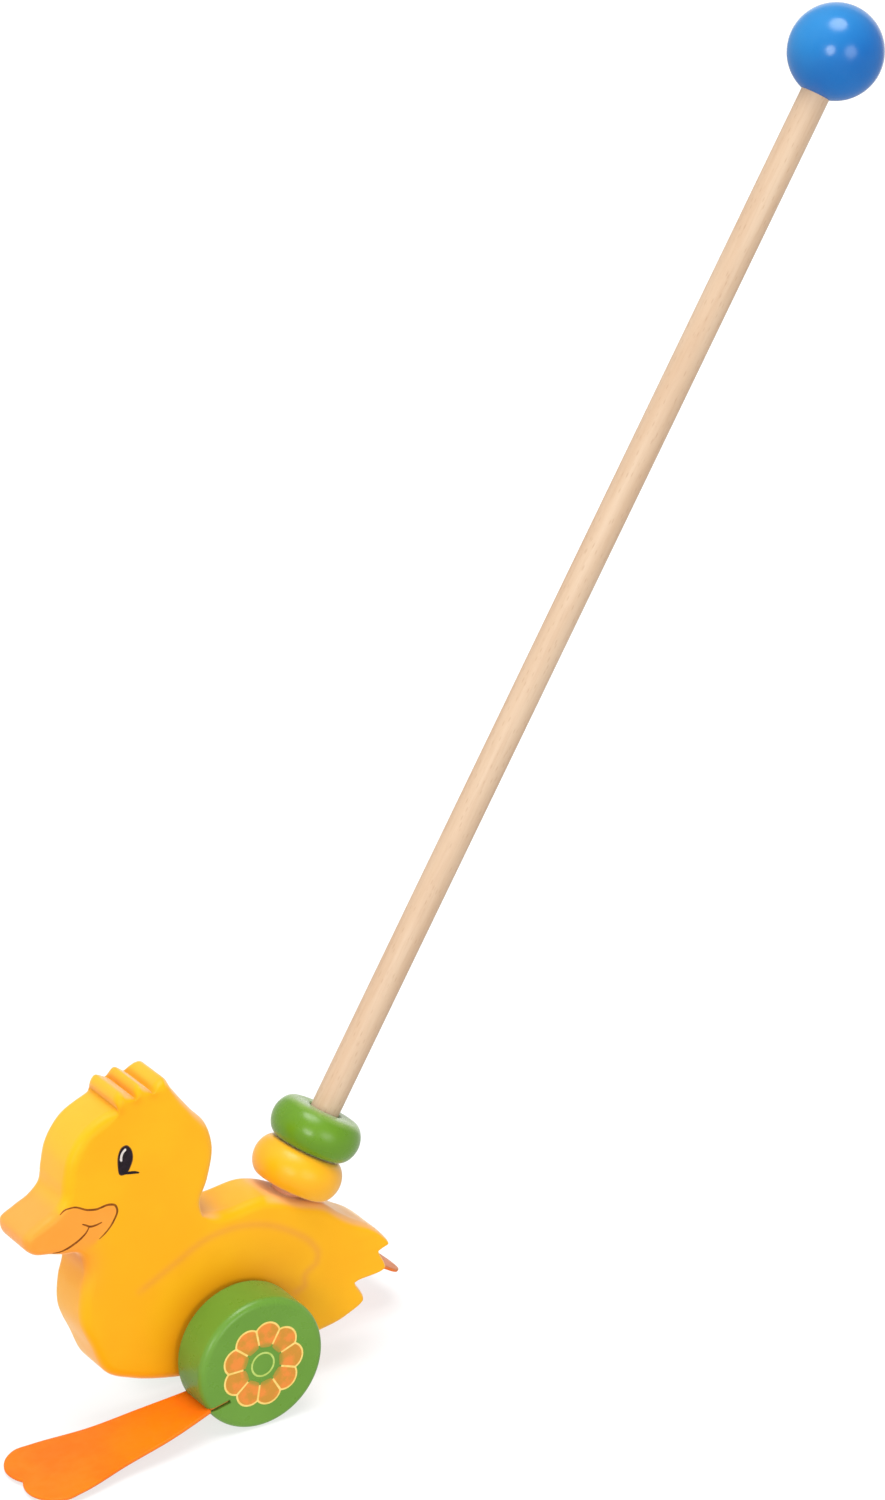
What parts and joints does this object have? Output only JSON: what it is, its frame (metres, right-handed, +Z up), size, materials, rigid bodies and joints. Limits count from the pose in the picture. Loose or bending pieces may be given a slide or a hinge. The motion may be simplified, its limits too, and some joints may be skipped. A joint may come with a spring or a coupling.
{
  "type": "duck push toy",
  "caption": "Wooden duck on a wheeled axle with flapping rubber feet in the wheels, pushed by a slanted stick with sliding beads and a ball grip.",
  "frame": {"origin": "on the floor below the middle of the axle, midway between the wheels", "axes": "+Z up, the duck faces -X, +Y along the axle to the duck's right"},
  "size_m": [0.4109, 0.1078, 0.5293],
  "materials": {
    "duck_paint": "gloss paint",
    "beech": "bare, sanded",
    "blue_paint": "gloss paint",
    "yellow_paint": "gloss paint",
    "leaf_paint": "gloss paint",
    "wheel_paint": "gloss paint",
    "orange_rubber": "matt"
  },
  "bodies": {
    "duck": {"duck_body": "duck_paint", "push_stick": "beech", "knob": "blue_paint"},
    "wheelset": {"axle": "beech", "left_washer": "beech", "right_washer": "beech", "left_wheel": "wheel_paint", "right_wheel": "wheel_paint"},
    "left_foot": {"left_foot": "orange_rubber"},
    "right_foot": {"right_foot": "orange_rubber"},
    "yellow_bead": {"yellow_bead": "yellow_paint"},
    "green_bead": {"green_bead": "leaf_paint"}
  },
  "joints": [
    {"name": "wheel_spin", "type": "hinge", "parent": "duck", "child": "wheelset", "pos_m": [0, 0, 0.028], "axis": [0, 1, 0], "continuous": true},
    {"name": "left_foot_flex", "type": "hinge", "parent": "wheelset", "child": "left_foot", "pos_m": [-0.02415, -0.025, 0.01383], "axis": [0, 1, 0], "range_deg": [-60, 60], "stiffness_Nm_per_rad": 0.05, "deforming": ["left_foot"]},
    {"name": "right_foot_flex", "type": "hinge", "parent": "wheelset", "child": "right_foot", "pos_m": [0.0262, 0.025, 0.03789], "axis": [0, 1, 0], "range_deg": [-60, 60], "stiffness_Nm_per_rad": 0.05, "deforming": ["right_foot"]},
    {"name": "yellow_bead_slide", "type": "slide", "parent": "duck", "child": "yellow_bead", "axis": [0.512, 0, 0.859], "range_m": [0, 0.22]},
    {"name": "green_bead_slide", "type": "slide", "parent": "yellow_bead", "child": "green_bead", "axis": [0.512, 0, 0.859], "range_m": [0, 0.223]}
  ]
}
